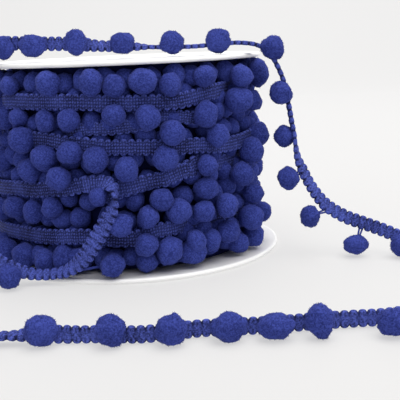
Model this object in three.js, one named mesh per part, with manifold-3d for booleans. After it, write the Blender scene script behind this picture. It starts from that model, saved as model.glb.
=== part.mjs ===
import * as THREE from "three";
import { mergeVertices } from "three/addons/utils/BufferGeometryUtils.js";
import Module from "manifold-3d";

// Pom pom trim wound on a white reel, with its free end hanging over the top and lying in front.
// Millimetres, +Z up. The reel's axis is X = Y = 0, the floor is Z = 0, the front is the side of -Y.

const wasm = await Module();
wasm.setup();

// The reel
const LOWER_FLANGE_RADIUS = 66;
const UPPER_FLANGE_RADIUS = 60.5;
const FLANGE_THICKNESS = 2;
const FLANGE_ROUNDING = 0.5;
const UPPER_FLANGE_UNDERSIDE = 85.4;
const FLANGE_SIDES = 48;

// The braid and the pompoms that are tied along its edge
const BRAID_WIDTH = 5.8;
const BRAID_THICKNESS = 2;
const BRAID_EDGE = 0.9;
const BRAID_EDGE_THICKNESS = 0.8;
const POMPOM_RADIUS = 5.1;
const POMPOM_UNEVENNESS = 0.06;
const TIE_WIDTH = 1.6;

// The wound body
const GAP = 0.3;
const WOUND_RADIUS = 56;
const WOUND_BULGE = 1;
const WOUND_SHOULDER = 5;
const WOUND_SIDES = 36;
const BRAID_LAY_RADIUS = 58.6;
const BRAID_LAY_DEPTH = 4;
const LAY_STEP = 15;
const BALL_LAY_RADIUS = 58.9;
const BALL_SHRINK = 0.95;
const BALL_SPACING = 11.4;
const SCATTER_SIDEWAYS = 2.5;
const SCATTER_UPWARDS = 1.5;
const SCATTER_OUTWARDS = 0.6;
const SUNK = 1;
const WOUND_BOTTOM = FLANGE_THICKNESS + GAP;
const WOUND_TOP = UPPER_FLANGE_UNDERSIDE - GAP;

// The loose trim
const LOOSE_STEP = 12.8;
const LOOSE_CLEARANCE = 3.4;
const LOOSE_BALL_SIDES = 7;
const LOOSE_BALL_RINGS = 4;
const SAMPLES_PER_ROW = 4;

const colours = { trim: 0x343a8c, reel: 0xf4f4f2 };
const material = (color, roughness) => new THREE.MeshStandardMaterial({ color, roughness, metalness: 0 });
const trimMaterial = () => material(colours.trim, 0.95);
const reelMaterial = () => material(colours.reel, 0.35);

const radians = (degrees) => THREE.MathUtils.degToRad(degrees);

// An uneven number between -1 and 1 that is the same each time for the same n
function scatter(n) {
  const value = Math.sin(n * 12.9898) * 43758.5453;
  return 2 * (value - Math.floor(value)) - 1;
}

function solidOf(geometry) {
  geometry.deleteAttribute("normal");
  geometry.deleteAttribute("uv");
  const merged = mergeVertices(geometry, 1e-4);
  return new wasm.Manifold(new wasm.Mesh({
    numProp: 3,
    vertProperties: new Float32Array(merged.attributes.position.array),
    triVerts: new Uint32Array(merged.index.array),
  }));
}

function geometryOf(solid) {
  const mesh = solid.getMesh();
  const geometry = new THREE.BufferGeometry();
  geometry.setAttribute("position", new THREE.BufferAttribute(mesh.vertProperties, 3));
  geometry.setIndex(new THREE.BufferAttribute(mesh.triVerts, 1));
  geometry.computeVertexNormals();
  return geometry;
}

const joined = (solids) => solids.reduce((whole, solid) => whole.add(solid));

// A lathe turns about Y, so its profile is stood up on Z
function turned(profile, sides) {
  const points = profile.map(([radius, height]) => new THREE.Vector2(radius, height));
  return new THREE.LatheGeometry(points, sides).rotateX(Math.PI / 2);
}

function flange(radius, underside) {
  const top = underside + FLANGE_THICKNESS;
  const inner = radius - FLANGE_ROUNDING;
  return turned([
    [0, underside], [inner, underside], [radius, underside + FLANGE_ROUNDING],
    [radius, top - FLANGE_ROUNDING], [inner, top], [0, top],
  ], FLANGE_SIDES);
}

// A pompom is a slightly uneven ball
function pompom(ball, centre, number) {
  ball.scale(1 + POMPOM_UNEVENNESS * scatter(number), 1 + POMPOM_UNEVENNESS * scatter(number + 0.3), 1);
  ball.rotateX(Math.PI * scatter(number + 0.5)).rotateZ(Math.PI * scatter(number + 0.7));
  return solidOf(ball.translate(centre.x, centre.y, centre.z));
}

// The thread between a braid and a pompom that stands off it
function tie(from, to) {
  const length = from.distanceTo(to);
  const thread = new THREE.BoxGeometry(TIE_WIDTH, TIE_WIDTH, length).translate(0, 0, length / 2);
  const turn = new THREE.Quaternion().setFromUnitVectors(
    new THREE.Vector3(0, 0, 1), to.clone().sub(from).normalize());
  return solidOf(thread.applyQuaternion(turn).translate(from.x, from.y, from.z));
}

// The braid's section is a flat shape with eight sides, or a plain strip on the wound body
const HALF_WIDTH = BRAID_WIDTH / 2;
const HALF_THICKNESS = BRAID_THICKNESS / 2;
const HALF_EDGE = BRAID_EDGE_THICKNESS / 2;
const looseSection = [
  [HALF_WIDTH, -HALF_EDGE], [HALF_WIDTH, HALF_EDGE],
  [HALF_WIDTH - BRAID_EDGE, HALF_THICKNESS], [BRAID_EDGE - HALF_WIDTH, HALF_THICKNESS],
  [-HALF_WIDTH, HALF_EDGE], [-HALF_WIDTH, -HALF_EDGE],
  [BRAID_EDGE - HALF_WIDTH, -HALF_THICKNESS], [HALF_WIDTH - BRAID_EDGE, -HALF_THICKNESS],
];
const woundSection = [
  [HALF_WIDTH, -BRAID_LAY_DEPTH], [HALF_WIDTH, HALF_THICKNESS],
  [-HALF_WIDTH, HALF_THICKNESS], [-HALF_WIDTH, -BRAID_LAY_DEPTH],
];

// A straight braid is bent along a route, which gives the middle and the way the face looks
// for a share of the length from 0 to 1
function braidAlong(route, steps, section) {
  const outline = new THREE.Shape(section.map(([x, y]) => new THREE.Vector2(x, y)));
  const straight = new THREE.ExtrudeGeometry(outline, { depth: steps, steps, bevelEnabled: false });
  const position = straight.attributes.position;
  const small = 0.2 / steps;
  for (let i = 0; i < position.count; i += 1) {
    const share = position.getZ(i) / steps;
    const { middle, face } = route(share);
    const before = route(Math.max(share - small, 0)).middle;
    const after = route(Math.min(share + small, 1)).middle;
    const along = after.clone().sub(before).normalize();
    const side = face.clone().cross(along).normalize();
    const out = along.clone().cross(side);
    const point = middle.clone();
    point.addScaledVector(side, position.getX(i)).addScaledVector(out, position.getY(i));
    position.setXYZ(i, point.x, point.y, point.z);
  }
  return solidOf(straight);
}

// Where the four outer turns of braid lie: degrees round from the front, to the right, and height.
// Each turn adds 360 degrees.
const TURNS = 4;
const lay = [
  [-180, 12], [-100, 14.5], [-38, 16.7], [-16, 17.9], [2, 16.6], [14, 19.4], [38, 21], [100, 24],
  [180, 28], [260, 32], [318, 35.8], [335, 37.3], [348, 39.5], [358, 37.5], [375, 39.8], [386, 42.5],
  [460, 45], [540, 49], [620, 54], [687, 57], [705, 55], [716, 53.7], [748, 52.3], [765, 50.8],
  [820, 54], [900, 62], [980, 68.5], [1033, 72.2], [1058, 72], [1089, 70.7], [1100, 70.3],
  [1125, 73.2], [1180, 75], [1260, 76.5],
];

function layHeight(degrees) {
  const next = Math.max(1, lay.findIndex(([angle]) => angle >= degrees));
  const [angleA, heightA] = lay[next - 1];
  const [angleB, heightB] = lay[next];
  const share = (degrees - angleA) / (angleB - angleA);
  return heightA + (heightB - heightA) * share * share * (3 - 2 * share);
}

function onWinding(degrees, radius, height) {
  const turn = radians(degrees);
  return new THREE.Vector3(radius * Math.sin(turn), -radius * Math.cos(turn), height);
}

function layRoute(share) {
  const degrees = lay[0][0] + share * 360 * TURNS;
  const height = layHeight(Math.min(degrees, lay[lay.length - 1][0]));
  return { middle: onWinding(degrees, BRAID_LAY_RADIUS, height), face: onWinding(degrees, 1, 0) };
}

// Pompoms that show at the front, row by row: the row's height, then degrees round from the front
const frontRows = [
  { height: 79, degrees: [-49, -27, -9, 0, 10, 20, 35, 53, 74] },
  { height: 65.5, degrees: [-45, -30, -19, -1, 11, 34, 52, 68] },
  { height: 57.5, degrees: [20, 39] },
  { height: 50, degrees: [-31, -19, -9, 3, 17, 60, 72] },
  { height: 43.5, degrees: [-41, -24, 33] },
  { height: 34, degrees: [-9, 15, 34, 52] },
  { height: 27.5, degrees: [-52, -41, -30, 9, 21, 32, 42, 62] },
  { height: 14, degrees: [8, 28, 37, 46, 58, 80] },
  { height: 7.4, degrees: [-50, -39, -26, -5, 8, 17, 27, 52, 65] },
];
const FRONT_FROM = -60;
const FRONT_TO = 84;

// Each pompom of the wound body: its place, its height and how far it is sunk
function woundPompoms() {
  const balls = [];
  frontRows.forEach(({ height, degrees }) => {
    degrees.forEach((angle) => balls.push({ angle, height, sunk: 0 }));
  });
  for (let angle = FRONT_TO + BALL_SPACING; angle < FRONT_FROM + 360; angle += BALL_SPACING) {
    const place = angle > 180 ? angle - 360 : angle;
    for (let turn = 0; turn <= TURNS; turn += 1) {
      const below = turn === 0 ? WOUND_BOTTOM - BRAID_WIDTH / 2 : layHeight(place + 360 * (turn - 1));
      const above = turn === TURNS ? WOUND_TOP + BRAID_WIDTH / 2 : layHeight(place + 360 * turn);
      const number = angle + 7 * turn;
      balls.push({
        angle: angle + SCATTER_SIDEWAYS * scatter(number) + (turn % 2) * BALL_SPACING / 2,
        height: (below + above) / 2 + SCATTER_UPWARDS * scatter(number + 0.4),
        sunk: SUNK * (1 + scatter(number + 0.6)),
      });
    }
  }
  return balls;
}

// The ways that the flat of the braid looks
const FRONT = [0, -1, 0];
const UP = [0, 0, 1];
const RIGHT = [1, 0, 0];
const LEFT = [-1, 0, 0];
const RIGHT_FRONT = [0.7, -0.7, 0];
const FRONT_UP = [0, -0.7, 0.7];

// The loose trim from where it leaves the winding to its cut end: the middle of the braid,
// the way its face looks and, where a pompom is tied, the pompom's middle
const looseTrim = [
  // the slack turn in front of the winding
  [[-15, -60.6, 39.8], FRONT],
  [[-8.5, -62.4, 40.6], FRONT_UP, [-9, -64.6, 35.4]],
  [[-4, -64.6, 39.8], [0.5, -0.3, 0.8]],
  [[-2.2, -66, 36.4], [1, -0.3, 0.1]],
  [[-3.2, -66.8, 31.4], RIGHT_FRONT],
  [[-8.4, -67.2, 22.4], FRONT, [-0.6, -65.6, 24]],
  [[-13.8, -66.6, 14.2], FRONT],
  [[-19.8, -63.4, 8], FRONT_UP, [-5.2, -64, 7.9]],
  [[-27, -60.8, 4.6], [0, -0.2, 1]],
  [[-35, -60.8, 4.2], [0, -0.2, 1]],
  [[-42.4, -62, 6.4], FRONT_UP, [-46, -66, 5.4]],
  [[-50, -62, 10.4], FRONT],
  // up the left side of the reel
  [[-58, -58.5, 18], [-0.4, -0.9, 0], [-62, -64, 14]],
  [[-65.5, -51, 32], [-0.7, -0.7, 0], [-71, -56, 31]],
  [[-70.5, -42, 48], LEFT, [-77, -43, 47]],
  [[-73, -35, 65], LEFT, [-79.5, -35, 65]],
  [[-71, -30.5, 82], [-0.9, -0.2, 0.3], [-77, -29.5, 84]],
  [[-62.5, -29, 93.6], [-0.6, -0.4, 0.7], [-66.5, -31, 97.5]],
  // across the top
  [[-50, -29, 95.6], FRONT, [-49, -32, 93.8]],
  [[-36, -29, 95], FRONT, [-35.9, -32, 93.7]],
  [[-27, -28.5, 94.6], FRONT],
  [[-18, -28, 94.2], FRONT, [-18, -31, 94.4]],
  [[-9.3, -28, 93], FRONT_UP],
  [[1.2, -28, 92.4], FRONT_UP, [1.2, -30, 93.4]],
  [[12.4, -28, 91.6], UP],
  [[21.7, -28, 91.2], UP, [21.7, -29.5, 92.9]],
  [[31.3, -28, 91.1], UP],
  [[41, -28, 91.6], UP, [41, -29.5, 92.9]],
  [[50.2, -28, 91.8], UP],
  [[57.7, -28, 90.4], UP, [63.5, -30.5, 89.2]],
  // down the right side
  [[62.6, -28, 87], [0.6, 0, 0.8]],
  [[64.9, -28, 83], RIGHT],
  [[67.8, -28, 76], RIGHT],
  [[69, -28, 69.5], RIGHT, [66.6, -31, 70.3]],
  [[70, -28.7, 64.5], RIGHT],
  [[70.9, -29.7, 58], RIGHT],
  [[71.8, -31, 51.5], RIGHT, [67.8, -29, 51.8]],
  [[73.1, -31.2, 42.4], [0.9, -0.4, 0]],
  [[75.2, -31.5, 37], RIGHT_FRONT, [68.6, -33, 34.4]],
  [[78, -32, 31], RIGHT_FRONT],
  [[82, -33, 24.8], [0.5, -0.8, 0.2]],
  [[85.5, -34, 21.2], [0.3, -0.9, 0.2], [77.2, -36, 18]],
  [[92.6, -35, 16.8], [0.2, -1, 0.2]],
  [[99.8, -36, 14], FRONT, [96.4, -38, 5.4]],
  [[107.5, -37, 11], FRONT],
  [[113, -38.5, 8.6], FRONT, [115, -43, 5.4]],
  // the turn on the floor at the right
  [[121, -43.5, 4.6], RIGHT_FRONT],
  [[127.5, -54, 3.1], RIGHT, [132.5, -51, 5.4]],
  [[130, -65, 3.1], RIGHT],
  [[129.5, -76, 3.1], RIGHT, [135, -72, 5.4]],
  [[126, -89, 3.1], RIGHT_FRONT, [131.5, -91, 5.4]],
  [[117.5, -105, 3.1], RIGHT_FRONT, [122, -109.5, 5.4]],
  [[105, -118, 3.1], RIGHT_FRONT, [107.5, -124, 5.4]],
  [[96, -123.4, 3.1], FRONT],
  // along the front to the cut end
  [[88.5, -125.4, 3.1], FRONT, [89.4, -134.2, 5.4]],
  [[80.4, -125.8, 3.1], FRONT],
  [[67, -126.6, 3.1], FRONT, [66.8, -132, 5.4]],
  [[53, -128.2, 3.1], FRONT, [52.9, -133.8, 5.4]],
  [[38, -128.6, 3.1], FRONT, [38, -133.6, 5.4]],
  [[29, -128.8, 3.1], FRONT],
  [[19.8, -130.6, 3.1], FRONT, [19.8, -135, 5.4]],
  [[9.8, -132, 3.1], FRONT],
  [[0.6, -130.6, 3.1], FRONT, [0.6, -133.6, 5.4]],
  [[-10.2, -129.6, 3.1], FRONT],
  [[-21.7, -128, 3.1], FRONT, [-21.7, -131.2, 5.4]],
  [[-32.4, -128, 3.1], FRONT],
  [[-41, -127.8, 3.1], FRONT, [-41, -131.4, 5.4]],
  [[-47, -127.8, 3.1], FRONT],
].map(([middle, face, ball]) => ({
  middle: new THREE.Vector3(...middle),
  face: new THREE.Vector3(...face).normalize(),
  ball: ball && new THREE.Vector3(...ball),
}));

const looseCurve = new THREE.CatmullRomCurve3(looseTrim.map(({ middle }) => middle), false, "centripetal");
const looseLength = looseCurve.getLength();

// The share of the length is turned into a place between two rows of the table
function looseRoute(share) {
  const place = looseCurve.getUtoTmapping(share) * (looseTrim.length - 1);
  const row = Math.min(Math.floor(place), looseTrim.length - 2);
  const face = looseTrim[row].face.clone().lerp(looseTrim[row + 1].face, place - row).normalize();
  return { middle: looseCurve.getPoint(place / (looseTrim.length - 1)), face };
}

function looseSolid() {
  const steps = Math.round(looseLength / LOOSE_STEP);
  const braid = braidAlong(looseRoute, steps, looseSection);
  const pieces = [];
  looseTrim.filter(({ ball }) => ball).forEach(({ middle, ball }, i) => {
    const sphere = new THREE.SphereGeometry(POMPOM_RADIUS, LOOSE_BALL_SIDES, LOOSE_BALL_RINGS);
    pieces.push(pompom(sphere, ball, i));
    if (middle.distanceTo(ball) > POMPOM_RADIUS) pieces.push(tie(middle, ball));
  });
  return joined([braid, ...pieces]);
}

// A wound pompom is pressed in where the loose trim passes over it
function pressedIn(centre, radius) {
  const samples = looseCurve.getPoints(looseTrim.length * SAMPLES_PER_ROW);
  const balls = looseTrim.filter(({ ball }) => ball).map(({ ball }) => ball);
  const clear = (point) => samples.every((p) => p.distanceTo(point) > radius + LOOSE_CLEARANCE)
    && balls.every((b) => b.distanceTo(point) > radius + POMPOM_RADIUS + 2 * GAP);
  const moved = centre.clone();
  while (!clear(moved) && Math.hypot(moved.x, moved.y) > WOUND_RADIUS - radius) {
    const share = 1 - GAP / Math.hypot(moved.x, moved.y);
    moved.set(moved.x * share, moved.y * share, moved.z);
  }
  return moved;
}

function windingSolid() {
  const middle = (WOUND_BOTTOM + WOUND_TOP) / 2;
  const core = solidOf(turned([
    [0, WOUND_BOTTOM], [WOUND_RADIUS - WOUND_BULGE, WOUND_BOTTOM],
    [WOUND_RADIUS, WOUND_BOTTOM + WOUND_SHOULDER], [WOUND_RADIUS + WOUND_BULGE, middle],
    [WOUND_RADIUS, WOUND_TOP - WOUND_SHOULDER], [WOUND_RADIUS - WOUND_BULGE, WOUND_TOP], [0, WOUND_TOP],
  ], WOUND_SIDES));
  const braid = braidAlong(layRoute, 360 * TURNS / LAY_STEP, woundSection);
  const balls = woundPompoms().map(({ angle, height, sunk }, i) => {
    const radius = POMPOM_RADIUS * (BALL_SHRINK + POMPOM_UNEVENNESS * scatter(i));
    const rest = THREE.MathUtils.clamp(height, WOUND_BOTTOM + radius, WOUND_TOP - radius);
    const centre = onWinding(angle, BALL_LAY_RADIUS - sunk + SCATTER_OUTWARDS * scatter(i + 0.2), rest);
    return pompom(new THREE.IcosahedronGeometry(radius), pressedIn(centre, radius), i);
  });
  return joined([core, braid, ...balls]);
}

function node(name, geometry, finish) {
  const mesh = new THREE.Mesh(geometry, finish);
  mesh.name = name;
  return mesh;
}

const trimOnReel = new THREE.Group();
trimOnReel.add(node("flange_lower", flange(LOWER_FLANGE_RADIUS, 0), reelMaterial()));
trimOnReel.add(node("flange_upper", flange(UPPER_FLANGE_RADIUS, UPPER_FLANGE_UNDERSIDE), reelMaterial()));
trimOnReel.add(node("winding", geometryOf(windingSolid()), trimMaterial()));
trimOnReel.add(node("trim_loose", geometryOf(looseSolid()), trimMaterial()));

export default trimOnReel;
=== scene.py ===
# %% [markdown]
# # Pom pom trim on its reel
#
# The real thing is a narrow gimp braid with small pompoms tied along one edge. Several metres of it
# are wound on a white plastic reel, and the last metre hangs over the top of the reel and lies in
# front of it. A measured model with plain solids already exists. This script loads it and dresses
# it: each cell makes one piece or one finish, and all of them share the model's frame, in metres.

# %% Load the measured model
import math

import bmesh
import bpy
import numpy as np
from mathutils import Matrix, Vector, noise


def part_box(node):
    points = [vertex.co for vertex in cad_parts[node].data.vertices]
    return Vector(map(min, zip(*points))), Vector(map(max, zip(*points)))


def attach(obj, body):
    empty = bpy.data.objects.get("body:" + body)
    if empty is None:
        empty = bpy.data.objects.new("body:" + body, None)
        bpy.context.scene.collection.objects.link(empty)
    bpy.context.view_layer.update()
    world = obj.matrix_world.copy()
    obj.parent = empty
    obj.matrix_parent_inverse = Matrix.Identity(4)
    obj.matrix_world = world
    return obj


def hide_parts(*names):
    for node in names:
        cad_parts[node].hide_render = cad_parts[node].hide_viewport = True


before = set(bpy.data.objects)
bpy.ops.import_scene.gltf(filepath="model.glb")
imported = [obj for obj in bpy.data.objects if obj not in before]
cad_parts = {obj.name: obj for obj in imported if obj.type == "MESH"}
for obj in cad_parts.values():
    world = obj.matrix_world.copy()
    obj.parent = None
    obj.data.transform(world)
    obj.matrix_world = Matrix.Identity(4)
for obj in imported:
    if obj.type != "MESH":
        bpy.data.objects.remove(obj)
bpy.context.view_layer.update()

MM = 0.001

# %% [markdown]
# ## The camera
#
# The picture was taken from a little above the top of the reel, about 38 cm in front of its axis.
# The camera could be turned with angles, but a matrix built from its right, up and back directions
# says plainly where it looks, and the small roll is easy to add to it.

# %% Camera
CAMERA_PLACE = Vector((30.6, -383.6, 94.5)) * MM
CAMERA_PITCH = -0.1919
CAMERA_ROLL = -0.043
FOCAL_PIXELS = 833.8
PICTURE_PIXELS = 400
SENSOR_WIDTH = 36

ahead = Vector((0, math.cos(CAMERA_PITCH), math.sin(CAMERA_PITCH)))
level_right = Vector((1, 0, 0))
level_up = level_right.cross(ahead)
right = level_right * math.cos(CAMERA_ROLL) + level_up * math.sin(CAMERA_ROLL)
up = level_up * math.cos(CAMERA_ROLL) - level_right * math.sin(CAMERA_ROLL)
turn = Matrix((right, up, -ahead)).transposed().to_4x4()

camera_data = bpy.data.cameras.new("camera")
camera_data.sensor_width = SENSOR_WIDTH
camera_data.lens = FOCAL_PIXELS * SENSOR_WIDTH / PICTURE_PIXELS
camera_data.clip_start = 0.01
camera = bpy.data.objects.new("camera", camera_data)
camera.matrix_world = Matrix.Translation(CAMERA_PLACE) @ turn
bpy.context.scene.collection.objects.link(camera)
bpy.context.scene.camera = camera
print("lens in mm", round(camera_data.lens, 1))

# %% [markdown]
# ## Where the loose trim runs
#
# The last metre of trim leaves the winding in a slack turn, climbs the left side of the reel,
# crosses the top, falls down the right side and comes back along the floor to its cut end. A cord
# like this can be simulated, but a trim that someone has laid out by hand is placed one by one here
# too: each row says where the middle of the braid is, which way its flat face looks, and where the
# pompom is that is tied there. A smooth curve then goes through the rows.

# %% The route of the loose trim
FRONT = (0, -1, 0)
BACK = (0, 1, 0)
UP = (0, 0, 1)
RIGHT = (1, 0, 0)
LEFT = (-1, 0, 0)
RIGHT_FRONT = (0.7, -0.7, 0)
FRONT_UP = (0, -0.7, 0.7)

# braid x, y, z in mm, face, pompom x, y, z in mm, pompom width, depth and height in mm
LOOSE_TRIM = [
    # the slack turn in front of the winding
    ((-15, -60.6, 39.8), FRONT),
    ((-8.5, -62.4, 40.6), (0.1, -0.9, 0.4), (-9, -64.6, 35.4), (7.4, 7.6, 8)),
    ((-4, -64.6, 39.8), (0.5, -0.7, 0.5)),
    ((-2.2, -66, 36.4), (1, -0.1, 0.1)),
    ((-3.2, -66.8, 31.4), (0.8, 0.6, 0)),
    ((-8.4, -67.2, 22.4), (0.2, 1, 0), (-0.6, -65.6, 24), (9.4, 9, 10)),
    ((-13.8, -66.6, 14.2), BACK),
    ((-19.8, -63.4, 8), (0, 0.8, -0.6), (-5.2, -64, 7.9), (10.2, 10, 10)),
    ((-27, -60.8, 4.6), (0, 0.4, -0.9)),
    ((-35, -60.8, 4.2), (0, 0.4, -0.9)),
    ((-42.4, -62, 6.4), (0, 0.7, -0.7), (-46, -66, 5.4), (10, 10, 9.6)),
    ((-50, -62, 10.4), (0.3, 0.9, -0.2)),
    # up the left side of the reel, where it rolls over again
    ((-58, -58.5, 18), (0.8, 0.6, -0.4), (-62, -64, 14), (10, 10, 10)),
    ((-65.5, -51, 32), (0.3, -0.9, -0.5), (-71, -56, 31), (9.6, 10, 10.4)),
    ((-70.5, -42, 48), LEFT, (-77, -43, 47), (10, 10.4, 9.8)),
    ((-73, -35, 65), LEFT, (-79.5, -35, 65), (10, 9.6, 10.2)),
    ((-71, -30.5, 82), (-0.9, -0.2, 0.3), (-77, -29.5, 84), (10.4, 10, 9.6)),
    ((-62.5, -29, 93.6), (-0.6, -0.4, 0.7), (-66.5, -31, 97.5), (10, 10, 9.4)),
    # across the top
    ((-50, -29, 95.6), FRONT, (-49, -32, 93.8), (10.6, 10, 10)),
    ((-36, -29, 95), FRONT, (-35.9, -32, 94.2), (11.4, 10, 9.4)),
    ((-27, -28.5, 94.6), FRONT),
    ((-18, -28, 94.2), FRONT, (-18, -31, 95), (9.4, 9.6, 11)),
    ((-9.3, -28, 93), FRONT_UP),
    ((1.2, -28, 92.4), FRONT_UP, (1.2, -30, 93.8), (10.4, 10, 9.4)),
    ((12.4, -28, 91.6), UP),
    ((21.7, -28, 91.2), UP, (21.7, -29.5, 93), (10.6, 10, 10.2)),
    ((31.3, -28, 91.1), UP),
    ((41, -28, 91.6), UP, (41, -29.5, 93), (10.6, 10.2, 10.4)),
    ((50.2, -28, 91.8), UP),
    ((57.7, -28, 90.4), UP, (63.5, -30.5, 89.2), (10, 10, 10.4)),
    # down the right side
    ((62.6, -28, 87), (0.6, 0, 0.8)),
    ((64.9, -28, 83), RIGHT),
    ((67.8, -28, 76), RIGHT),
    ((69, -28, 69.5), RIGHT, (66.6, -31, 70.3), (9.8, 9.8, 9.8)),
    ((70, -28.7, 64.5), RIGHT),
    ((70.9, -29.7, 58), RIGHT),
    ((71.8, -31, 51.5), RIGHT, (67.8, -29, 51.8), (9.2, 9.4, 9.6)),
    ((73.1, -31.2, 42.4), (0.9, -0.4, 0)),
    ((75.2, -31.5, 37), RIGHT_FRONT, (68.6, -33, 34.4), (9.4, 9.2, 10)),
    ((78, -32, 31), RIGHT_FRONT),
    ((82, -33, 24.8), (0.5, -0.8, 0.2)),
    ((85.5, -34, 21.2), (0.3, -0.9, 0.2), (77.2, -36, 18), (8.8, 8.8, 9.4)),
    ((92.6, -35, 16.8), (0.2, -1, 0.2)),
    ((99.8, -36, 14), FRONT, (96.4, -38, 5), (10.6, 9.6, 8.6)),
    ((107.5, -37, 11), FRONT),
    ((113, -38.5, 8.6), FRONT, (115, -43, 5.3), (10, 10, 9.8)),
    # the turn on the floor at the right
    ((121, -43.5, 4.6), RIGHT_FRONT),
    ((127.5, -54, 3.1), RIGHT, (132.5, -51, 5.3), (10, 10, 9.8)),
    ((130, -65, 3.1), RIGHT),
    ((129.5, -76, 3.1), RIGHT, (135, -72, 5.3), (9.6, 10.4, 10)),
    ((126, -89, 3.1), RIGHT_FRONT, (131.5, -91, 5.3), (10.4, 9.6, 9.8)),
    ((117.5, -105, 3.1), RIGHT_FRONT, (122, -109.5, 5.3), (10, 10, 10)),
    ((105, -118, 3.1), RIGHT_FRONT, (107.5, -124, 5.3), (10, 10.4, 9.6)),
    ((96, -123.4, 3.1), FRONT),
    # along the front to the cut end
    ((88.5, -125.4, 3.1), FRONT, (89.9, -135.4, 4.7), (11, 10, 9.2)),
    ((80.4, -125.8, 3.1), FRONT),
    ((67, -126.6, 3.1), FRONT, (66.8, -134.2, 6.1), (8.8, 9.4, 10.2)),
    ((53, -128.2, 3.1), FRONT, (52.9, -133.8, 4.6), (11.6, 9.6, 8.6)),
    ((38, -128.6, 3.1), FRONT, (38, -133.6, 5), (11.2, 9.8, 9.2)),
    ((29, -128.8, 3.1), FRONT),
    ((19.8, -130.6, 3.1), FRONT, (19.8, -135, 5.2), (10.2, 9.8, 10)),
    ((9.8, -132, 3.1), FRONT),
    ((0.6, -130.6, 3.1), FRONT, (0.6, -133.6, 5.2), (10.4, 10, 10.2)),
    ((-10.2, -129.6, 3.1), FRONT),
    ((-21.7, -128, 3.1), FRONT_UP, (-21.7, -130.8, 5.3), (11, 10, 10.3)),
    ((-32.4, -128, 3.1), UP),
    ((-41, -127.8, 3.1), UP, (-41, -131.4, 5.2), (10, 10, 10)),
    ((-47, -127.8, 3.1), UP),
]

# %% [markdown]
# ## A smooth line through the rows
#
# The rows are joined with a centripetal Catmull-Rom curve, which goes through every point and makes
# no loops of its own where the points are close. It is sampled finely and then measured out again in
# equal steps, so that every stitch of the braid has the same length.

# %% Smooth route
FINE_SAMPLES = 24


def smooth_line(points):
    """Points of a centripetal Catmull-Rom curve, and for each its place between the rows."""
    rows = np.array(points, float)
    ends = np.vstack([2 * rows[0] - rows[1], rows, 2 * rows[-1] - rows[-2]])
    line, places = [], []
    for i in range(1, len(ends) - 2):
        a, b, c, d = ends[i - 1:i + 3]
        knots = np.cumsum([0] + [math.sqrt(np.linalg.norm(q - p)) for p, q in ((a, b), (b, c), (c, d))])
        steps = np.linspace(knots[1], knots[2], FINE_SAMPLES, endpoint=(i == len(ends) - 3))
        for t in steps:
            ab = (a * (knots[1] - t) + b * (t - knots[0])) / (knots[1] - knots[0])
            bc = (b * (knots[2] - t) + c * (t - knots[1])) / (knots[2] - knots[1])
            cd = (c * (knots[3] - t) + d * (t - knots[2])) / (knots[3] - knots[2])
            abc = (ab * (knots[2] - t) + bc * (t - knots[0])) / (knots[2] - knots[0])
            bcd = (bc * (knots[3] - t) + cd * (t - knots[1])) / (knots[3] - knots[1])
            line.append((abc * (knots[2] - t) + bcd * (t - knots[1])) / (knots[2] - knots[1]))
            places.append(i - 1 + (t - knots[1]) / (knots[2] - knots[1]))
    return np.array(line), np.array(places)

# %% Equal steps


def even_frames(line, faces, step):
    """The line in equal steps, with the directions along it, across the braid and out of its face."""
    reach = np.concatenate([[0], np.cumsum(np.linalg.norm(np.diff(line, axis=0), axis=1))])
    count = max(2, round(reach[-1] / step) + 1)
    at = np.linspace(0, reach[-1], count)
    middle = np.stack([np.interp(at, reach, line[:, k]) for k in range(3)], 1)
    face = np.stack([np.interp(at, reach, faces[:, k]) for k in range(3)], 1)
    along = np.gradient(middle, axis=0)
    along /= np.linalg.norm(along, axis=1, keepdims=True)
    side = np.cross(face, along)
    side /= np.linalg.norm(side, axis=1, keepdims=True)
    return {"at": at, "middle": middle, "along": along, "side": side, "out": np.cross(along, side)}

# %% The loose trim's line
loose_line, loose_places = smooth_line([row[0] for row in LOOSE_TRIM])
row_faces = np.array([row[1] for row in LOOSE_TRIM], float)
loose_faces = np.stack([np.interp(loose_places, range(len(row_faces)), row_faces[:, k]) for k in range(3)], 1)

# %% [markdown]
# ## Floor and light
#
# The picture is a studio one: a pale sweep that rises behind the object, a large soft light above
# and to the right, and a weaker one from the left. A flat plane would show a horizon, so one edge is
# pulled back along the floor, turned up through a quarter circle and pulled up again.

# %% Studio sweep
SWEEP_HALF_WIDTH = 3
SWEEP_FRONT = -1.2
SWEEP_BACK = 0.9
SWEEP_BEND = 0.6
SWEEP_TOP = 2.2
BEND_STEPS = 20
FLOOR_DROP = 0.00005

sweep_shape = bmesh.new()
start = [sweep_shape.verts.new((x, SWEEP_FRONT, -FLOOR_DROP)) for x in (-SWEEP_HALF_WIDTH, SWEEP_HALF_WIDTH)]
edge = sweep_shape.edges.new(start)


def pull(shape, edges, by):
    """Extrudes edges and moves the new ones, and gives the new edges back."""
    made = bmesh.ops.extrude_edge_only(shape, edges=edges)["geom"]
    verts = [g for g in made if isinstance(g, bmesh.types.BMVert)]
    bmesh.ops.translate(shape, verts=verts, vec=by)
    return [g for g in made if isinstance(g, bmesh.types.BMEdge) and all(v in verts for v in g.verts)]


back_edge = pull(sweep_shape, [edge], (0, SWEEP_BACK - SWEEP_FRONT, 0))
bend = bmesh.ops.spin(
    sweep_shape, geom=back_edge + [v for e in back_edge for v in e.verts],
    cent=(0, SWEEP_BACK, SWEEP_BEND), axis=(1, 0, 0), angle=math.pi / 2, steps=BEND_STEPS)
top_edge = [g for g in bend["geom_last"] if isinstance(g, bmesh.types.BMEdge)]
pull(sweep_shape, top_edge, (0, 0, SWEEP_TOP - SWEEP_BEND))
bmesh.ops.recalc_face_normals(sweep_shape, faces=sweep_shape.faces)

# %% Object and material helpers


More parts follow.
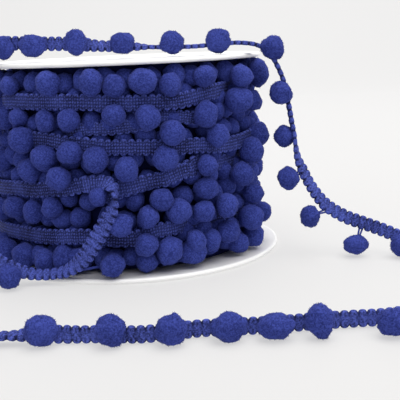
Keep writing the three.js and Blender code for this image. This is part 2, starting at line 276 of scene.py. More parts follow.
def finished(shape, name, material, smooth=True):
    """Turns a bmesh into an object of the scene, with one material."""
    mesh = bpy.data.meshes.new(name)
    shape.to_mesh(mesh)
    shape.free()
    mesh.polygons.foreach_set("use_smooth", [smooth] * len(mesh.polygons))
    mesh.materials.append(material)
    thing = bpy.data.objects.new(name, mesh)
    bpy.context.scene.collection.objects.link(thing)
    print(name, "has", len(mesh.polygons), "faces")
    return thing


def new_material(name):
    """A material with nodes, and its shader."""
    material = bpy.data.materials.new(name)
    material.use_nodes = True
    print("made the material", name)
    return material, material.node_tree, material.node_tree.nodes["Principled BSDF"]

# %% Paper
paper, _, paper_shader = new_material("pale paper")
paper_shader.inputs["Base Color"].default_value = (0.21, 0.208, 0.206, 1)
paper_shader.inputs["Roughness"].default_value = 0.7
paper_shader.inputs["Emission Color"].default_value = (1, 0.995, 0.992, 1)
paper_shader.inputs["Emission Strength"].default_value = 0.54
finished(sweep_shape, "studio_sweep", paper)

# %% Lights


def soft_light(name, place, target, size, watts, colour):
    """A square area light at place that looks at target."""
    data = bpy.data.lights.new(name, "AREA")
    data.size = size
    data.energy = watts
    data.color = colour
    lamp = bpy.data.objects.new(name, data)
    towards = Vector(target) - Vector(place)
    lamp.matrix_world = Matrix.Translation(place) @ towards.to_track_quat("-Z", "Y").to_matrix().to_4x4()
    bpy.context.scene.collection.objects.link(lamp)
    print(name, "has", watts, "watts")


LOOK_AT = (0.02, -0.03, 0.04)
SWEEP_AT = (0.1, 1.6, 0.1)
soft_light("light at the right", (0.45, -0.35, 1.4), LOOK_AT, size=1.7, watts=24, colour=(1, 0.985, 0.965))
soft_light("light at the left", (-0.9, -0.8, 0.6), LOOK_AT, size=1.0, watts=1.3, colour=(0.98, 0.99, 1))
soft_light("light on the sweep", (0.1, 0.8, 1.3), SWEEP_AT, size=1.2, watts=8, colour=(0.94, 0.96, 1))

world = bpy.data.worlds.new("studio")
world.use_nodes = True
world.node_tree.nodes["Background"].inputs["Color"].default_value = (1, 0.995, 0.985, 1)
world.node_tree.nodes["Background"].inputs["Strength"].default_value = 0.6
bpy.context.scene.world = world
bpy.context.scene.view_settings.view_transform = "Standard"

# %% [markdown]
# ## The yarn's colour and its painted shade
#
# Braid and pompoms are dyed alike in a royal blue that is almost navy. On the braid the colour also holds
# painted light: the tops of the stitches are painted lighter as a highlight and the hollows darker as
# painted shade. Both finishes use the same small group of nodes, which mixes a light and a dark blue by
# a mask and adds slow, faint changes over the surface. A group can be placed in any material with values
# of its own.

# %% Node helpers
LIGHT_BLUE = (0.050, 0.071, 0.335, 1)
MAIN_BLUE = (0.020, 0.029, 0.160, 1)
# DARK_BLUE is painted shade: the colour of the braid's hollows
DARK_BLUE = (0.006, 0.008, 0.048, 1)


def add_node(tree, kind, inputs=None, **settings):
    """A node of a tree, with its settings and the values or links of its inputs."""
    node = tree.nodes.new(kind)
    for key, value in settings.items():
        setattr(node, key, value)
    for key, value in (inputs or {}).items():
        socket = node.inputs[key]
        if isinstance(value, bpy.types.NodeSocket):
            tree.links.new(value, socket)
        else:
            socket.default_value = value
    return node


def sum_of(tree, operation, *values):
    """The result of a Math node."""
    return add_node(tree, "ShaderNodeMath", dict(enumerate(values)), operation=operation).outputs[0]

# %% The group of yarn dye and painted shade
# this group mixes the yarn's dye, and on the braid and the sunken layer it also mixes in painted highlight
# and painted shade
dye_and_shade = bpy.data.node_groups.new("yarn dye and painted shade", "ShaderNodeTree")
for socket_name, socket_kind in (
        ("Vector", "NodeSocketVector"), ("Mask", "NodeSocketFloat"), ("Patch scale", "NodeSocketFloat"),
        ("Light", "NodeSocketColor"), ("Dark", "NodeSocketColor")):
    dye_and_shade.interface.new_socket(socket_name, in_out="INPUT", socket_type=socket_kind)
dye_and_shade.interface.new_socket("Color", in_out="OUTPUT", socket_type="NodeSocketColor")
mix_in = dye_and_shade.nodes.new("NodeGroupInput")
mix_out = dye_and_shade.nodes.new("NodeGroupOutput")
patches = add_node(dye_and_shade, "ShaderNodeTexNoise", {
    "Vector": mix_in.outputs["Vector"], "Scale": mix_in.outputs["Patch scale"], "Detail": 3.0})
patch_share = add_node(dye_and_shade, "ShaderNodeMapRange", {
    "Value": patches.outputs["Fac"], "From Min": 0.3, "From Max": 0.7, "To Min": -0.18, "To Max": 0.18})
lit = sum_of(dye_and_shade, "ADD", mix_in.outputs["Mask"], patch_share.outputs[0])
blend = add_node(dye_and_shade, "ShaderNodeMix", data_type="RGBA")
dye_and_shade.links.new(lit, blend.inputs[0])
dye_and_shade.links.new(mix_in.outputs["Dark"], blend.inputs[6])
dye_and_shade.links.new(mix_in.outputs["Light"], blend.inputs[7])
dye_and_shade.links.new(blend.outputs[2], mix_out.inputs["Color"])

# %% [markdown]
# ## The pompoms' finish
#
# A pompom is a ball of cut fibres, so its surface is a fine even nap with no gloss, a little lighter
# at its rim where the fibre ends stand against the light. Two noises, one for the clumps of fibre
# and one for the single ends, give the bump and the mask, and a sheen gives the soft rim.

# %% Pompom material
pompom_material, tree, shader = new_material("blue pompom nap")
place = add_node(tree, "ShaderNodeTexCoord").outputs["Object"]
shade = add_node(tree, "ShaderNodeAttribute", attribute_name="shade").outputs["Fac"]
clumps = add_node(tree, "ShaderNodeTexNoise", {
    "Vector": place, "Scale": 1250.0, "Detail": 3.0, "Roughness": 0.6})
ends = add_node(tree, "ShaderNodeTexNoise", {
    "Vector": place, "Scale": 2300.0, "Detail": 2.0, "Roughness": 0.7})
nap = sum_of(tree, "ADD", sum_of(tree, "MULTIPLY", clumps.outputs["Fac"], 0.5),
             sum_of(tree, "MULTIPLY", ends.outputs["Fac"], 0.5))
mask = add_node(tree, "ShaderNodeMapRange", {"Value": nap, "From Min": 0.42, "From Max": 0.59})
dye_and_shade_mix = add_node(tree, "ShaderNodeGroup", node_tree=dye_and_shade)
tree.links.new(place, dye_and_shade_mix.inputs["Vector"])
tree.links.new(sum_of(tree, "ADD", mask.outputs[0], shade), dye_and_shade_mix.inputs["Mask"])
dye_and_shade_mix.inputs["Patch scale"].default_value = 160
dye_and_shade_mix.inputs["Light"].default_value = LIGHT_BLUE
dye_and_shade_mix.inputs["Dark"].default_value = MAIN_BLUE
tree.links.new(dye_and_shade_mix.outputs["Color"], shader.inputs["Base Color"])
bump = add_node(tree, "ShaderNodeBump", {"Strength": 0.7, "Distance": 0.0004, "Height": nap})
tree.links.new(bump.outputs["Normal"], shader.inputs["Normal"])
shader.inputs["Roughness"].default_value = 0.95
shader.inputs["Specular IOR Level"].default_value = 0.06
shader.inputs["Sheen Weight"].default_value = 0.07
shader.inputs["Sheen Roughness"].default_value = 0.5
shader.inputs["Sheen Tint"].default_value = (0.45, 0.5, 1, 1)

# %% [markdown]
# ## The braid's finish and its painted shade
#
# The braid carries an attribute that says how high each point stands, from the hollows between
# the stitches to the tops of its cords, and its colour follows it round every bend: a painted
# highlight on the tops and painted shade in the hollows. Fine noise stands for the twist of the
# threads that each cord is wrapped in.

# %% Braid material
# BRAID_LIGHT is a painted highlight: the colour of the tops of the stitches
BRAID_LIGHT = (0.078, 0.108, 0.460, 1)
braid_material, tree, shader = new_material("blue gimp braid")
place = add_node(tree, "ShaderNodeTexCoord").outputs["Object"]
height = add_node(tree, "ShaderNodeAttribute", attribute_name="height").outputs["Fac"]
threads = add_node(tree, "ShaderNodeTexNoise", {
    "Vector": place, "Scale": 1700.0, "Detail": 3.0, "Roughness": 0.65})
strands = threads.outputs["Fac"]
# painted highlight on the raised cords and beads, painted shade in the hollows between them
painted_light_by_height = add_node(tree, "ShaderNodeMapRange", {"Value": height, "From Min": 0.05, "From Max": 0.9})
twist = add_node(tree, "ShaderNodeMapRange", {
    "Value": strands, "From Min": 0.38, "From Max": 0.62, "To Min": 0.3, "To Max": 1.3})
mask = sum_of(tree, "MULTIPLY", painted_light_by_height.outputs[0], twist.outputs[0])
dye_and_shade_mix = add_node(tree, "ShaderNodeGroup", node_tree=dye_and_shade)
tree.links.new(place, dye_and_shade_mix.inputs["Vector"])
tree.links.new(mask, dye_and_shade_mix.inputs["Mask"])
dye_and_shade_mix.inputs["Patch scale"].default_value = 90
dye_and_shade_mix.inputs["Light"].default_value = BRAID_LIGHT
dye_and_shade_mix.inputs["Dark"].default_value = DARK_BLUE
tree.links.new(dye_and_shade_mix.outputs["Color"], shader.inputs["Base Color"])
bump = add_node(tree, "ShaderNodeBump", {"Strength": 0.5, "Distance": 0.0002, "Height": strands})
tree.links.new(bump.outputs["Normal"], shader.inputs["Normal"])
shader.inputs["Roughness"].default_value = 0.8
shader.inputs["Specular IOR Level"].default_value = 0.15
shader.inputs["Sheen Weight"].default_value = 0.03
shader.inputs["Sheen Roughness"].default_value = 0.5
shader.inputs["Sheen Tint"].default_value = (0.5, 0.55, 1, 1)

# %% [markdown]
# ## Making braid
#
# Gimp braid is a flat band of thick stitches that lie across it, one every 3 mm. Each stitch is two
# cords that cross in the middle and meet in a round loop at both edges, like a figure of eight. It
# could be made of hundreds of separate stitches, but one closed tube is lighter and has no gaps: a
# flat grid is rolled up into a tube of rings, and every ring is then moved to its place on the route
# and given its place in the stitch. The other side of the braid, which faces out on the winding, has
# rows of small beads instead.

# %% Braid sizes and section
BRAID_WIDTH = 5.8
BRAID_THICKNESS = 1.9
STITCH = 3.0
BEAD = 1.1
BEAD_ROWS = 5
CORD_SWING = 0.24
CORD_HALF_WIDTH = 0.18
UNDER_SHARE = 0.8
SCALLOP_HALF_WIDTH = 0.45
NOTCH = 0.28
CORE_FILL = 0.62
LOWEST_SHARE = 0.74
# BEAD_LIFT makes the painted shade between the beads lighter
BEAD_LIFT = 0.15
BEADED_HALF = 0.9
BEAD_SOFTNESS = 0.7
# EDGE_SHADE is painted shade in the notches between the loops at the braid's edges
EDGE_SHADE = 0.6
LEAN = 0.08
LEAN_LENGTH = 19


def flat_section(face_points):
    """The points round a flat section with soft edges: how far across and how far out each one lies."""
    face = np.linspace(-0.8, 0.8, face_points)
    under = np.linspace(0.8, -0.8, BEAD_ROWS)
    edge = np.array([0.95, 1, 0.95])
    across = np.concatenate([face, edge, under, -edge])
    out = np.concatenate([np.ones(face_points), [0.6, 0, -0.6], -np.ones(BEAD_ROWS), [-0.6, 0, 0.6]])
    return across, out


def straight_tube(around, rings):
    """A closed tube of one unit in radius and length along Z, rolled up from a flat grid."""
    shape = bmesh.new()
    bmesh.ops.create_grid(shape, x_segments=around, y_segments=rings - 1, size=1)
    for vert in shape.verts:
        turned = math.pi * (vert.co.x + 1)
        vert.co = (math.cos(turned), math.sin(turned), (vert.co.y + 1) / 2)
    bmesh.ops.remove_doubles(shape, verts=shape.verts, dist=0.1 / rings)
    ends = [e for e in shape.edges if e.is_boundary]
    bmesh.ops.holes_fill(shape, edges=ends)
    bmesh.ops.recalc_face_normals(shape, faces=shape.faces)
    return shape


# %% Stitches and beads


def in_stitch(at, across, slant):
    """The place in a stitch, from -0.5 to 0.5, of a point of the braid."""
    return (at / STITCH + slant * across / BRAID_WIDTH) % 1 - 0.5


def scallops(place):
    """How far the round end of a stitch reaches, from 0 between two stitches to 1."""
    return np.sqrt(np.clip(1 - (place / SCALLOP_HALF_WIDTH) ** 2, 0, 1))


def cords(place, side):
    """How high a stitch's two cords stand. One passes over the other, and a loop joins them at each edge."""
    swing = CORD_SWING * np.sin(math.pi * side)
    over = np.sqrt(np.clip(1 - ((place + swing) / CORD_HALF_WIDTH) ** 2, 0, 1))
    under = UNDER_SHARE * np.sqrt(np.clip(1 - ((place - swing) / CORD_HALF_WIDTH) ** 2, 0, 1))
    loops = scallops(place) * side ** 4
    return np.maximum.reduce([over, under, loops, CORE_FILL * (1 - side ** 2)])


def beads(at, across):
    """How high the rows of beads stand."""
    length_wise = 0.5 - 0.5 * np.cos(2 * math.pi * at / BEAD)
    cross_wise = np.abs(np.cos(math.pi * across * BEAD_ROWS / BRAID_WIDTH))
    return (length_wise * cross_wise) ** BEAD_SOFTNESS


# %% Braid maker


def braid(name, frames, face_points):
    """Braid along the frames. Their beaded share turns its outer face from cords to beads."""
    section_across, section_out = flat_section(face_points)
    around, rings = len(section_across), len(frames["at"])
    shape = straight_tube(around, rings)
    places = np.array([v.co for v in shape.verts])
    ring = np.rint(places[:, 2] * (rings - 1)).astype(int)
    turned = np.arctan2(places[:, 1], places[:, 0]) / (2 * math.pi)
    column = np.rint(turned * around).astype(int) % around
    at = frames["at"][ring]
    side = section_across[column]
    out = section_out[column]
    lean = LEAN * np.sin(at / LEAN_LENGTH)
    edge = scallops(in_stitch(at, np.sign(side) * BRAID_WIDTH / 2, lean))
    corded = cords(in_stitch(at, side * BRAID_WIDTH / 2, lean), side)
    beaded = np.where(np.abs(side) < BEADED_HALF, beads(at, side * BRAID_WIDTH / 2), edge)
    share = np.where(out > 0, frames["beaded"][ring], 0)
    rise = share * beaded + (1 - share) * corded
    reach = side * frames["width"][ring] / 2 * (1 - NOTCH + NOTCH * edge)
    thick = out * BRAID_THICKNESS / 2 * (LOWEST_SHARE + (1 - LOWEST_SHARE) * rise)
    new = (frames["middle"][ring] + frames["side"][ring] * reach[:, None]
           + frames["out"][ring] * thick[:, None]) * MM
    for vert, co in zip(shape.verts, new):
        vert.co = co
    thing = finished(shape, name, braid_material)
    # the height attribute is the mask of painted light: painted highlight where cords and beads stand high,
    # painted shade in the hollows and in the edge notches
    height = (rise + share * BEAD_LIFT * (1 - rise)) * (1 - EDGE_SHADE * np.abs(side) ** 3 * (1 - edge))
    thing.data.attributes.new("height", "FLOAT", "POINT").data.foreach_set("value", height.astype(np.float32))
    return thing


# %% The loose braid
LOOSE_RING_STEP = STITCH / 12
loose = even_frames(loose_line, loose_faces, LOOSE_RING_STEP)
SLACK_LENGTH = 55
SLACK_EASE = 20
SLACK_WIDTH = 7
LOOSE_WIDTH = 6.1
FOLD_AT = 13
FOLD_HALF = 3
loose["width"] = np.interp(loose["at"], [SLACK_LENGTH, SLACK_LENGTH + SLACK_EASE], [SLACK_WIDTH, LOOSE_WIDTH])
loose["beaded"] = np.interp(loose["at"], [FOLD_AT - FOLD_HALF, FOLD_AT + FOLD_HALF], [1, 0])
LOOSE_FACE_POINTS = 15
loose_braid = braid("loose_braid", loose, LOOSE_FACE_POINTS)

# %% [markdown]
# ## Making pompoms
#
# No two pompoms are alike: most are a little out of round, some are flat and a few come to a point
# where the fibres were cut. A ball of an icosphere with a stubble of short fibres is the pattern.
# Real hair would be too heavy for hundreds of pompoms, and a smooth ball looks like a bead, so each
# fibre is a sliver with three sides. The pattern is copied to each place, stretched to its own width,
# depth and height and pushed in and out by slow noise, and the copies stay one mesh.

# %% Pompom pattern
FIBRE_LENGTH = 0.13
FIBRE_WIDTH = 0.017
FIBRE_LEAN = 0.8
FIBRE_MIDDLE = 1.02


def pompom_pattern(name, subdivisions, fibres, seed):
    """A ball of radius one with a stubble of short fibres, as a mesh that is copied later."""
    scatter = np.random.default_rng(seed)
    shape = bmesh.new()
    bmesh.ops.create_icosphere(shape, subdivisions=subdivisions, radius=1)
    for _ in range(fibres):
        root = Vector(scatter.normal(size=3)).normalized()
        lean = root + FIBRE_LEAN * Vector(scatter.normal(size=3)).normalized()
        turned = lean.to_track_quat("Z", "Y").to_matrix().to_4x4()
        bmesh.ops.create_cone(
            shape, segments=3, radius1=FIBRE_WIDTH, radius2=FIBRE_WIDTH / 4, cap_ends=True,
            depth=FIBRE_LENGTH * scatter.uniform(0.6, 1.2),
            matrix=Matrix.Translation(root * FIBRE_MIDDLE) @ turned)
    mesh = bpy.data.meshes.new(name)
    shape.to_mesh(mesh)
    shape.free()
    print(name, "has", len(mesh.polygons), "faces")
    return mesh


# %% Pompom maker
BALL_WITHOUT_FUZZ = 0.97
BROAD_LUMP, BROAD_DETAIL = 0.15, 1.2
SMALL_LUMP, SMALL_DETAIL = 0.09, 3.2
SHADE_RANGE = 0.12
# no pompom reaches below this height over the floor, in mm
LOWEST = 0.05


def lumpy(direction, seed, peak):
    """How far a pompom's surface stands out in a direction, as a share of its radius."""
    shift = Vector((seed * 3.1, seed * 1.7, seed * 2.3))
    broad = BROAD_LUMP * noise.noise(direction * BROAD_DETAIL + shift)
    rise = 1 + broad + SMALL_LUMP * noise.noise(direction * SMALL_DETAIL - shift)
    if peak:
        towards, spread, height = Vector(peak[:3]).normalized(), peak[3], peak[4]
        rise += height * math.exp((direction.dot(towards) - 1) / spread)
    return rise


def pompoms(name, balls, pattern):
    """One mesh of pompoms. Each ball is its middle, its three sizes in mm, its seed and its peak."""
    shape = bmesh.new()
    shades = []
    scatter = np.random.default_rng(len(balls))
    for middle, sizes, seed, peak in balls:
        before = len(shape.verts)
        shape.from_mesh(pattern)
        shape.verts.ensure_lookup_table()
        turned = Matrix.Rotation(seed * 2.4, 3, Vector(scatter.normal(size=3)).normalized())
        half = Vector(sizes) / 2 * BALL_WITHOUT_FUZZ
        for vert in shape.verts[before:]:
            direction = turned @ vert.co
            direction *= lumpy(direction.normalized(), seed, peak)
            spot = Vector(middle) + direction * half
            vert.co = Vector((spot.x, spot.y, max(spot.z, LOWEST))) * MM
        shades += [scatter.uniform(-SHADE_RANGE, SHADE_RANGE)] * (len(shape.verts) - before)
    thing = finished(shape, name, pompom_material)
    thing.data.attributes.new("shade", "FLOAT", "POINT").data.foreach_set("value", shades)
    print(name, "holds", len(balls), "pompoms")
    return thing

# %% Three patterns
fine_pattern = pompom_pattern("fine_pompom", 4, 480, 1)
plain_pattern = pompom_pattern("plain_pompom", 3, 105, 2)
deep_pattern = pompom_pattern("deep_pompom", 2, 0, 3)

# %% The loose pompoms
# middle of a pompom that comes to a point, then the point's direction, spread and height
PEAKS = {
    (19.8, -135, 5.2): (0.3, -0.2, 1, 0.045, 0.3),
    (66.8, -134.2, 6.1): (0.1, -0.3, -1, 0.15, 0.2),
    (38, -133.6, 5): (0, 0, -1, 0.1, 0.2),
}
loose_balls = [
    (row[2], row[3], 11 + i, PEAKS.get(row[2])) for i, row in enumerate(LOOSE_TRIM) if len(row) > 2]
loose_pompoms = pompoms("loose_pompoms", loose_balls, fine_pattern)

# %% [markdown]
# ## The threads that tie them
#
# Each pompom hangs from the braid's edge by two thin threads, which show wherever the pompom stands a
# little away from it. Each is a thin cone of six sides, set between the edge and the pompom's middle.

# %% Tie threads
THREAD_RADIUS = 0.4
THREAD_SPREAD = 0.7
THREAD_INSET = 0.38

tie_shape = bmesh.new()
for row in LOOSE_TRIM:
    if len(row) == 2:
        continue
    middle, ball = Vector(row[0]), Vector(row[2])
    nearest = np.argmin(np.linalg.norm(loose["middle"] - np.array(row[0]), axis=1))
    along, side = Vector(loose["along"][nearest]), Vector(loose["side"][nearest])
    edge = middle + side * math.copysign(THREAD_INSET * BRAID_WIDTH, side.dot(ball - middle))
    for way in (-1, 1):
        start = edge + along * way * THREAD_SPREAD
        line = ball - start
        turned = line.to_track_quat("Z", "Y").to_matrix().to_4x4()
        bmesh.ops.create_cone(
            tie_shape, segments=6, radius1=THREAD_RADIUS * MM, radius2=THREAD_RADIUS * MM, cap_ends=True,
            depth=line.length * MM, matrix=Matrix.Translation((start + line / 2) * MM) @ turned)
tie_threads = finished(tie_shape, "tie_threads", pompom_material)

# %% [markdown]
# ## The winding
#
# Four turns of braid lie on the outside of the reel, and the pompoms of many layers crowd between
# them. The turns are one helix with a wavering height: each row of the table is a place in degrees
# round from the front and a height. The pompoms that show at the front are placed row by row, and a
# loop fills the rest of the way round halfway between each turn and the next.

# %% The helix of braid
TURNS = 4
LAY_RADIUS = 58.6
BALL_RADIUS = 58.9
WOUND_BOTTOM = 2.3
WOUND_TOP = 85.1
# degrees round from the front, height in mm
LAY = [
    (-180, 12), (-100, 14.5), (-38, 16.7), (-16, 17.9), (2, 16.6), (14, 19.4), (38, 21), (100, 24),
    (180, 28), (260, 32), (318, 35.8), (335, 37.3), (348, 39.5), (358, 37.5), (375, 39.8), (386, 42.5),
    (460, 45), (540, 49), (620, 54), (687, 57), (705, 55), (716, 53.7), (748, 52.3), (765, 50.8),
    (820, 54), (900, 62), (980, 68.5), (1033, 72.2), (1058, 72), (1089, 70.7), (1100, 70.3),
    (1125, 73.2), (1180, 75), (1260, 76.5),
]


def lay_height(degrees):
    """The height of the helix, eased from each row of the table to the next."""
    angles, heights = zip(*LAY)
    after = max(1, next(i for i, angle in enumerate(angles) if angle >= degrees))
    share = (degrees - angles[after - 1]) / (angles[after] - angles[after - 1])
    return heights[after - 1] + (heights[after] - heights[after - 1]) * share * share * (3 - 2 * share)


def on_winding(degrees, radius, height):
    """A point round the reel, in mm, with 0 degrees at the front."""
    turned = math.radians(degrees)
    return (radius * math.sin(turned), -radius * math.cos(turned), height)

# %% Slack and dips of the helix
LEFT_SIDE = -90
SLACK_AT_LEFT = 3.2
SLACK_SPREAD = 2.2
# degrees round from the front between which a turn dips under the pompoms
DIPS = [(17, 92), (388, 442), (598, 680), (956, 1026), (1120, 1182)]
DIP_DEPTH = 4
DIP_EASE = 12


def slack_at_left(degrees):
    """How far the winding bulges towards its left side, in mm."""
    away = math.radians((degrees - LEFT_SIDE + 180) % 360 - 180) * SLACK_SPREAD
    return SLACK_AT_LEFT * math.cos(away) if abs(away) < math.pi / 2 else 0


def lay_radius(degrees):
    """The radius of the helix, with its slack at the left and its dips."""
    dips = [min(degrees - first, last - degrees) / DIP_EASE for first, last in DIPS]
    return LAY_RADIUS + slack_at_left(degrees) - DIP_DEPTH * min(1, max(0, *dips))

# %% The wound braid
degrees_round = np.linspace(LAY[0][0], LAY[-1][0], 361 * TURNS)
lay_line = np.array([on_winding(d, lay_radius(d), lay_height(d)) for d in degrees_round])
lay_faces = np.array([on_winding(d, 1, 0) for d in degrees_round])
WOUND_RING_STEP = BEAD / 3
WOUND_WIDTH = 6.8
wound = even_frames(lay_line, lay_faces, WOUND_RING_STEP)
wound["width"] = np.full(len(wound["at"]), WOUND_WIDTH)
wound["beaded"] = np.ones(len(wound["at"]))
WOUND_FACE_POINTS = 2 * BEAD_ROWS - 1
wound_braid = braid("wound_braid", wound, WOUND_FACE_POINTS)

# %% [markdown]
# ## Strips that show from the layer beneath
#
# Where the pompoms part, short lengths of an earlier turn show at a slant. The whole layer could be
# wound, but almost all of it would be hidden, so only the three lengths that show are laid, and each
# dives under the pompoms at both of its ends.

# %% Strips of the layer beneath
# radius of the layer in mm, then degrees round from the front and height in mm
UNDER_STRIPS = [
    (56.6, [(8, 65.6), (16, 64.8), (24, 64.2), (32, 63)]),
    (56.6, [(-20, 60), (-14, 61), (-3, 61.1), (8, 62.1), (13, 63)]),
    (58.2, [(-6, 34.4), (-1.6, 35.7), (7, 38), (15, 39.8), (24, 43), (30, 45.4)]),
]
DIVE = 4


def strip_route(radius, rows):
    """A strip that lies on the winding and dives under the pompoms at both ends."""
    (first, low), (last, high) = rows[0], rows[-1]
    points = [on_winding(first - DIVE, radius - DIVE, low)]
    points += [on_winding(angle, radius, height) for angle, height in rows]
    return points + [on_winding(last + DIVE, radius - DIVE, high)]


under_strips = []
for number, (radius, rows) in enumerate(UNDER_STRIPS):
    line, _ = smooth_line(strip_route(radius, rows))
    strip = even_frames(line, line * (1, 1, 0), WOUND_RING_STEP)
    strip["width"] = np.full(len(strip["at"]), BRAID_WIDTH)
    strip["beaded"] = np.ones(len(strip["at"]))
    under_strips.append(braid(f"under_strip_{number}", strip, WOUND_FACE_POINTS))

# %% [markdown]
# ## The pompoms of the winding
#
# The pompoms were never placed by hand on the real reel: they come up wherever the turns let them
# through. Scattering them all at random would give a winding that is like the picture only in kind,
# so those at the front are read from it one by one, and the rest of the way round is filled between
# the turns with small random shifts. Each is pushed out by a strip beneath it and pressed in where
# the loose trim passes over it.

# %% Places of the wound pompoms
# degrees round from the front, height in mm
FRONT_POMPOMS = [
    (-9, 80), (35, 79.5), (-27, 79.4), (10, 79), (74, 78.6), (-49, 78.5), (53, 78.3), (-0.5, 77.7),
    (20.5, 77), (52, 68.7), (68, 67.2), (-1, 66.7), (-19, 65.2), (11, 65.1), (-30, 64.7), (34.5, 64.7),
    (-45, 65.5), (20, 58.5), (-42, 56.8), (39, 55.7), (-19, 52.4), (70.5, 51.7), (-9, 49.4), (-31, 50),
    (17, 48.4), (60, 46.7), (2, 45), (34, 44), (-41, 44), (-24, 42), (52.5, 37.7), (-9, 35.4),
    (34, 34.3), (15, 32), (-30, 29.3), (21.6, 26.8), (-41, 26.7), (42, 26.2), (9.4, 25.5), (31.6, 25.4),
    (-52, 27.5), (62, 27.5), (58, 18), (80, 15.5), (44, 14.6), (8, 14.4), (28, 13.4), (36, 12),
    (17, 10.8), (-50, 7.4), (-39, 7.8), (52, 7.5), (-5, 7.4), (65, 7.1), (-26, 6.6), (8, 6.6), (27, 6.6),
]
FRONT_FROM, FRONT_TO = -60, 84
BALL_SPACING = 10.6
ANGLE_SHIFT = 2.5
HEIGHT_SHIFT = 1.5
DEEPEST_SHIFT = 2
draw = np.random.default_rng(7)


def between_turns(place, turn):
    """The height halfway between a turn of the helix and the next, at a place from -180 to 180."""
    below = WOUND_BOTTOM - BRAID_WIDTH / 2 if turn == 0 else lay_height(place + 360 * (turn - 1))
    above = WOUND_TOP + BRAID_WIDTH / 2 if turn == TURNS else lay_height(place + 360 * turn)
    return (below + above) / 2


# pompoms that overhang the lower flange at the left: degrees, height and radius in mm
OVERHANGING = [(-57, 6.6, 62.5), (-44.5, 6.4, 62.5), (-33, 6.4, 62.5), (-20, 6.2, 61)]
wound_places = [(angle, height, BALL_RADIUS) for angle, height in FRONT_POMPOMS] + OVERHANGING
for angle in np.arange(FRONT_TO + BALL_SPACING, FRONT_FROM + 360, BALL_SPACING):
    place = angle if angle <= 180 else angle - 360
    for turn in range(TURNS + 1):
        wound_places.append((
            angle + draw.uniform(-ANGLE_SHIFT, ANGLE_SHIFT) + (turn % 2) * BALL_SPACING / 2,
            between_turns(place, turn) + draw.uniform(-HEIGHT_SHIFT, HEIGHT_SHIFT),
            BALL_RADIUS - draw.uniform(0, DEEPEST_SHIFT)))
print(len(wound_places), "places round the winding,", len(FRONT_POMPOMS), "of them read from the front")

# %% Pushed out and pressed in
PUSH = 0.8
LEFT_OF_FRONT, RIGHT_OF_FRONT = -115, 64
MOST_PUSHED_OUT = 2.8
MOST_PUSHED_OUT_BEHIND = 0.8
CLEAR_OF_BRAID = 3.2
CLEAR_OF_BALLS = 5.2
DEEPEST_RADIUS = 50
PRESS_STEP = 0.3
BALL_SIZE = 10
SMALLEST, LARGEST = 0.87, 1.16
OUT_OF_ROUND = 0.11
loose_middles = loose_line[::6]
ball_middles = np.array([row[2] for row in LOOSE_TRIM if len(row) > 2], float)


def pressed_in(angle, height, radius, half):
    """The radius at which a pompom clears the loose trim that passes over it."""
    while radius > DEEPEST_RADIUS:
        here = np.array(on_winding(angle, radius, height))
        if (np.linalg.norm(loose_middles - here, axis=1).min() > half + CLEAR_OF_BRAID
                and np.linalg.norm(ball_middles - here, axis=1).min() > half + CLEAR_OF_BALLS):
            break
        radius -= PRESS_STEP
    return radius


def over_braid(angle, height, half):
    """How far a pompom is pushed out by the strip of braid that it lies on."""
    place = (angle + 180) % 360 - 180
    gaps = [abs(height - lay_height(place + 360 * turn)) - WOUND_WIDTH / 2 - half for turn in range(TURNS)]
    most = MOST_PUSHED_OUT if LEFT_OF_FRONT < place < RIGHT_OF_FRONT else MOST_PUSHED_OUT_BEHIND
    return slack_at_left(place) + min(most, PUSH * max(0, -min(gaps)))

# %% The outer pompoms
wound_balls = []
for number, (angle, height, radius) in enumerate(wound_places):
    sizes = BALL_SIZE * draw.uniform(SMALLEST, LARGEST) * (1 + draw.uniform(-OUT_OF_ROUND, OUT_OF_ROUND, 3))
    half = sizes.max() / 2
    height = min(max(height, WOUND_BOTTOM + half), WOUND_TOP - half)
    radius += over_braid(angle, height, half) + draw.uniform(-0.8, 0.6)
    radius = pressed_in(angle, height, radius, half)
    wound_balls.append((on_winding(angle, radius, height), sizes, 100 + number, None))
wound_pompoms = pompoms("wound_pompoms", wound_balls, plain_pattern)

# %% [markdown]
# ## What lies beneath
#
# Between the outer pompoms the eye meets the layers below, which are pompoms and braid again, in
# shade. A second, sunken set of pompoms on a dark body gives that depth with few faces.

# %% Deep shade material
shadow_material, tree, shader = new_material("deep blue shade")
place = add_node(tree, "ShaderNodeTexCoord").outputs["Object"]
dye_and_shade_mix = add_node(tree, "ShaderNodeGroup", node_tree=dye_and_shade)
tree.links.new(place, dye_and_shade_mix.inputs["Vector"])
dye_and_shade_mix.inputs["Patch scale"].default_value = 300
dye_and_shade_mix.inputs["Mask"].default_value = 0.2
dye_and_shade_mix.inputs["Light"].default_value = MAIN_BLUE
dye_and_shade_mix.inputs["Dark"].default_value = (0.004, 0.005, 0.03, 1)
tree.links.new(dye_and_shade_mix.outputs["Color"], shader.inputs["Base Color"])
shader.inputs["Roughness"].default_value = 0.95
shader.inputs["Specular IOR Level"].default_value = 0.05

# %% The sunken layer
SUNKEN_SIZE = 9.4
SUNKEN_RADIUS = 53.6
SUNKEN_SPACING = 9.5
SUNKEN_ROWS = 10
FIRST_ROW = 7.3
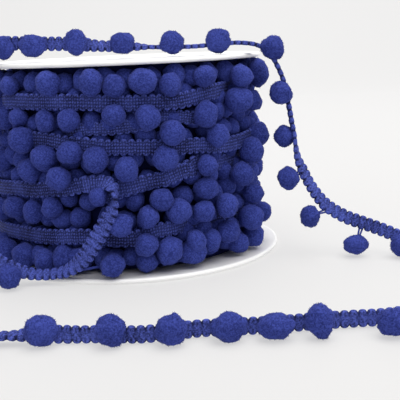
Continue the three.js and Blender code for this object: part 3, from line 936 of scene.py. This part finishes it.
# a lower pompom would cut into the lower flange, and a higher one into the upper flange
SUNKEN_BOTTOM = 8
SUNKEN_TOP = 80.2
sunken_balls = []
for row, height in enumerate(np.linspace(FIRST_ROW, SUNKEN_TOP, SUNKEN_ROWS)):
    for angle in np.arange(-180 + (row % 2) * SUNKEN_SPACING / 2, 180, SUNKEN_SPACING):
        sizes = SUNKEN_SIZE * (1 + draw.uniform(-0.1, 0.1, 3))
        low = min(max(height + draw.uniform(-1.5, 1.5), SUNKEN_BOTTOM), SUNKEN_TOP)
        spot = on_winding(angle + draw.uniform(-2, 2), SUNKEN_RADIUS + slack_at_left(angle), low)
        sunken_balls.append((spot, sizes, 500 + len(sunken_balls), None))
sunken_pompoms = pompoms("sunken_pompoms", sunken_balls, deep_pattern)

# %% The core
CORE_RADIUS = 51
core_shape = bmesh.new()
bmesh.ops.create_cone(
    core_shape, cap_ends=True, segments=96, radius1=CORE_RADIUS * MM, radius2=CORE_RADIUS * MM,
    depth=(WOUND_TOP - WOUND_BOTTOM) * MM)
bmesh.ops.translate(core_shape, verts=core_shape.verts, vec=(0, 0, (WOUND_TOP + WOUND_BOTTOM) / 2 * MM))
wound_core = finished(core_shape, "wound_core", shadow_material, smooth=False)

# %% [markdown]
# ## The reel
#
# The reel's two flanges are thin discs of white plastic with a slightly thicker rounded rim. Half of
# the section of such a disc is drawn as a line of vertices and spun once round the axis.

# %% Reel material
reel_material, tree, shader = new_material("white reel plastic")
place = add_node(tree, "ShaderNodeTexCoord").outputs["Object"]
cloud = add_node(tree, "ShaderNodeTexNoise", {"Vector": place, "Scale": 60.0, "Detail": 4.0})
grain = add_node(tree, "ShaderNodeTexNoise", {"Vector": place, "Scale": 1800.0, "Detail": 2.0})
white = add_node(tree, "ShaderNodeMix", data_type="RGBA")
tree.links.new(cloud.outputs["Fac"], white.inputs[0])
white.inputs[6].default_value = (0.90, 0.90, 0.89, 1)
white.inputs[7].default_value = (0.96, 0.96, 0.95, 1)
tree.links.new(white.outputs[2], shader.inputs["Base Color"])
rough = add_node(tree, "ShaderNodeMapRange", {"Value": cloud.outputs["Fac"], "To Min": 0.28, "To Max": 0.42})
tree.links.new(rough.outputs[0], shader.inputs["Roughness"])
bump = add_node(tree, "ShaderNodeBump", {
    "Strength": 0.12, "Distance": 0.0002, "Height": grain.outputs["Fac"]})
tree.links.new(bump.outputs["Normal"], shader.inputs["Normal"])
shader.inputs["Subsurface Weight"].default_value = 0.3
shader.inputs["Subsurface Radius"].default_value = (0.002, 0.002, 0.002)
shader.inputs["IOR"].default_value = 1.49

# %% The flanges
FLANGE_STEPS = 160
RIM_POINTS = 9
RIM_WIDTH = 1.6
RIM_SLOPE = 0.4
RIM_STEP = 0.12


def flange(name, node):
    """A flange in the place and size of a measured node, with a rounded rim a little thicker than its web."""
    low, high = (np.array(corner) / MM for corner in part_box(node))
    radius, bottom, top = high[0], low[2], high[2]
    round_off = (top - bottom) / 2
    inner, web = radius - RIM_WIDTH, radius - RIM_WIDTH - RIM_SLOPE
    section = [(0, bottom + RIM_STEP), (web, bottom + RIM_STEP), (inner, bottom)]
    section += [(radius - round_off + round_off * math.sin(a), (top + bottom) / 2 - round_off * math.cos(a))
                for a in np.linspace(0, math.pi, RIM_POINTS)]
    section += [(inner, top), (web, top - RIM_STEP), (0, top - RIM_STEP)]
    shape = bmesh.new()
    verts = [shape.verts.new((x * MM, 0, z * MM)) for x, z in section]
    edges = [shape.edges.new(pair) for pair in zip(verts, verts[1:])]
    bmesh.ops.spin(shape, geom=verts + edges, cent=(0, 0, 0), axis=(0, 0, 1), angle=2 * math.pi,
                   steps=FLANGE_STEPS, use_merge=True)
    bmesh.ops.remove_doubles(shape, verts=shape.verts, dist=0.000001)
    bmesh.ops.recalc_face_normals(shape, faces=shape.faces)
    return finished(shape, name, reel_material)

# %% Both flanges
reel_flanges = {node: flange("reel_" + node, node) for node in ("flange_lower", "flange_upper")}

# %% [markdown]
# ## Fastening everything to the model
#
# Every piece rides on the model's one body and, where it stands for a measured solid, replaces it.

# %% Ride and replace
winding_pieces = [wound_braid, wound_pompoms, sunken_pompoms, wound_core] + under_strips
for piece in [loose_braid, loose_pompoms, tie_threads] + winding_pieces:
    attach(piece, "root")
for node, piece in reel_flanges.items():
    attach(piece, "root")
    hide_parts(node)
for piece in winding_pieces:
    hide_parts("winding")
for piece in (loose_braid, loose_pompoms, tie_threads):
    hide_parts("trim_loose")
